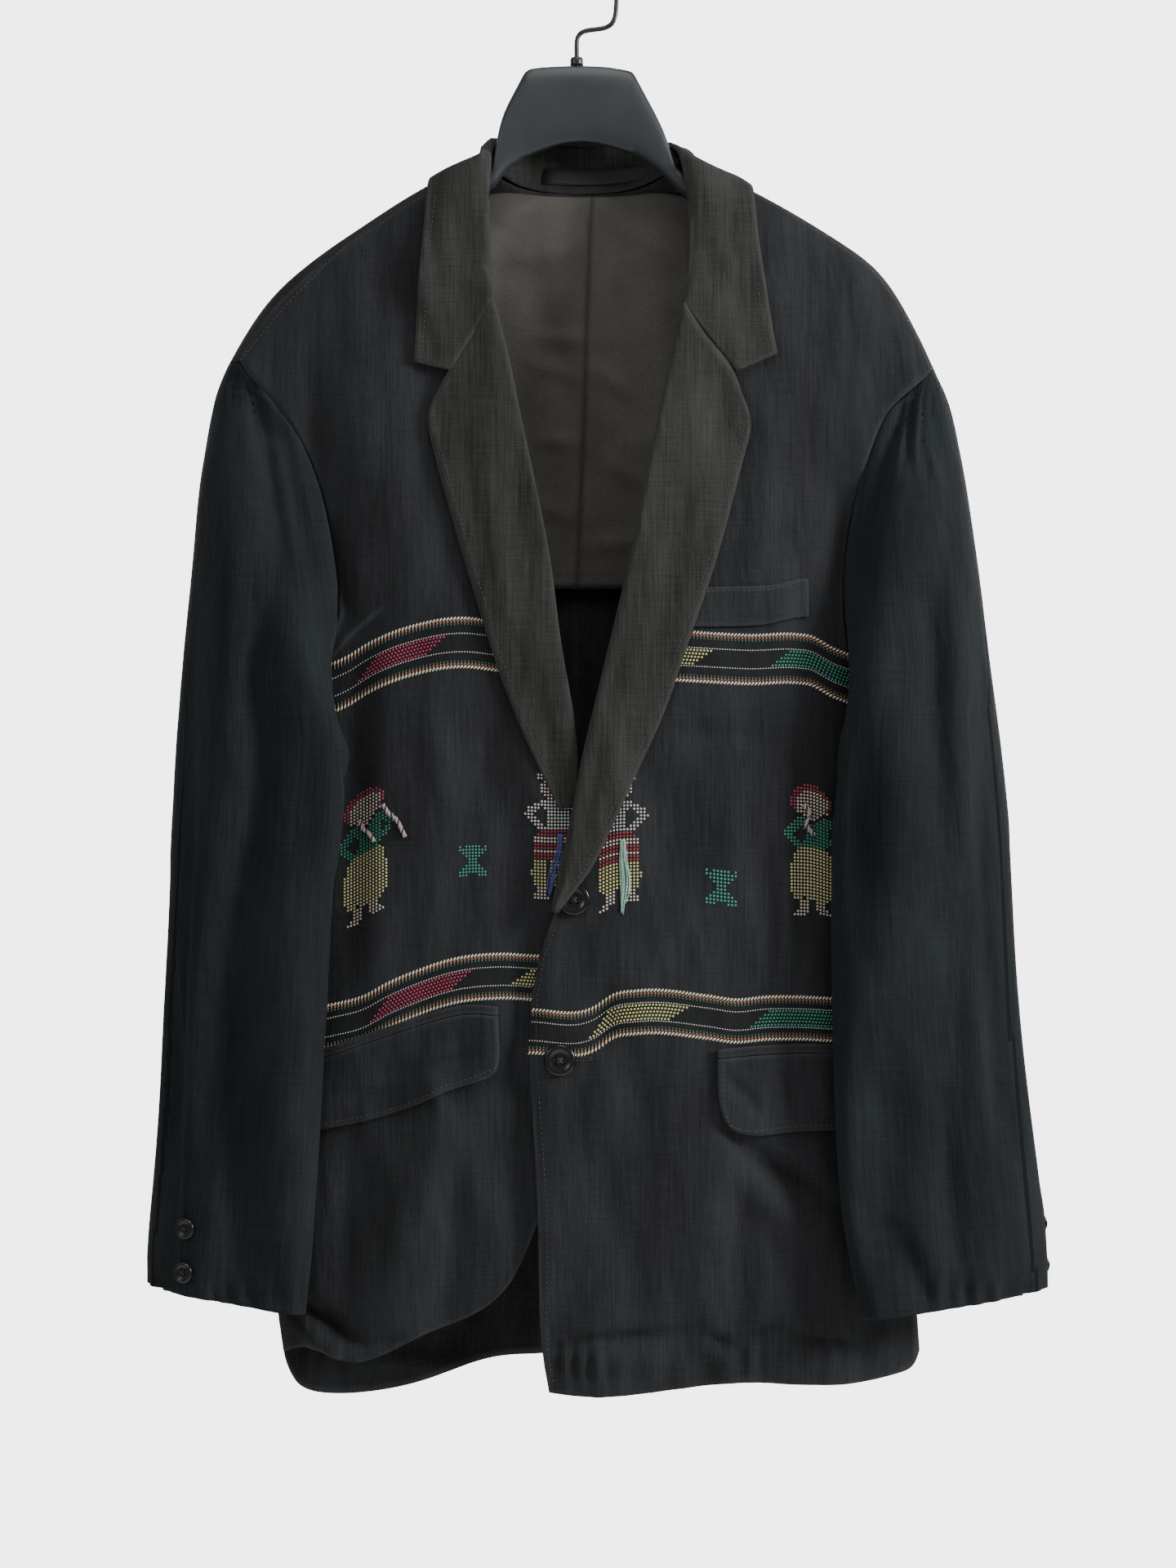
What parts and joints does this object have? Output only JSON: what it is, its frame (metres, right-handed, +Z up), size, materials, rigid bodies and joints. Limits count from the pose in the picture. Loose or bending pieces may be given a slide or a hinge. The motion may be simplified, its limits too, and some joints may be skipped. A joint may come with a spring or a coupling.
{
  "type": "embroidered jacket on a hanger",
  "caption": "Tailored jacket of charcoal cloth with woven bands and figures on its fronts, hanging buttoned on a black suit hanger with a wire hook.",
  "frame": {"origin": "inside top of the hanger's hook, where a rail touches it", "axes": "+X to the right as the jacket is looked at (the wearer's left), -Y out of its front, +Z up"},
  "size_m": [0.6063, 0.11, 0.9758],
  "materials": {
    "front_cloth": "charcoal wool-type twill, matt",
    "collar_cloth": "warm charcoal slubbed plain weave, matt",
    "sleeve_cloth": "green-black plain weave, matt",
    "lining": "warm grey lining, soft sheen",
    "label": "black satin, blank",
    "button": "black resin, polished rim",
    "hanger_plastic": "black, satin",
    "hook_steel": "blackened wire",
    "thread_blue": "cotton thread",
    "thread_mint": "cotton thread",
    "thread_plait": "cotton thread"
  },
  "bodies": {
    "root": {"front_right": "front_cloth", "front_left": "front_cloth", "back_right": "front_cloth", "back_left": "front_cloth", "flap_right": "front_cloth", "flap_left": "front_cloth", "chest_welt": "front_cloth", "jet_right": "front_cloth", "jet_left": "front_cloth", "collar": "collar_cloth", "lapel_right": "collar_cloth", "lapel_left": "collar_cloth", "collar_stand": "collar_cloth", "sleeve_right_top": "sleeve_cloth", "sleeve_right_under": "sleeve_cloth", "sleeve_left_top": "sleeve_cloth", "sleeve_left_under": "sleeve_cloth", "half_lining_right": "lining", "half_lining_left": "lining", "neck_label": "label", "front_button_upper": "button", "front_button_lower": "button", "cuff_button_right_upper": "button", "cuff_button_right_lower": "button", "cuff_button_left_upper": "button", "cuff_button_left_lower": "button", "hanger_body": "hanger_plastic", "hanger_hook": "hook_steel", "hanger_nut": "hook_steel", "thread_tassel_blue": "thread_blue", "thread_tassel_mint": "thread_mint", "thread_braid_right_outer": "thread_plait", "thread_braid_right_inner": "thread_plait", "thread_braid_left": "thread_plait"}
  },
  "joints": []
}
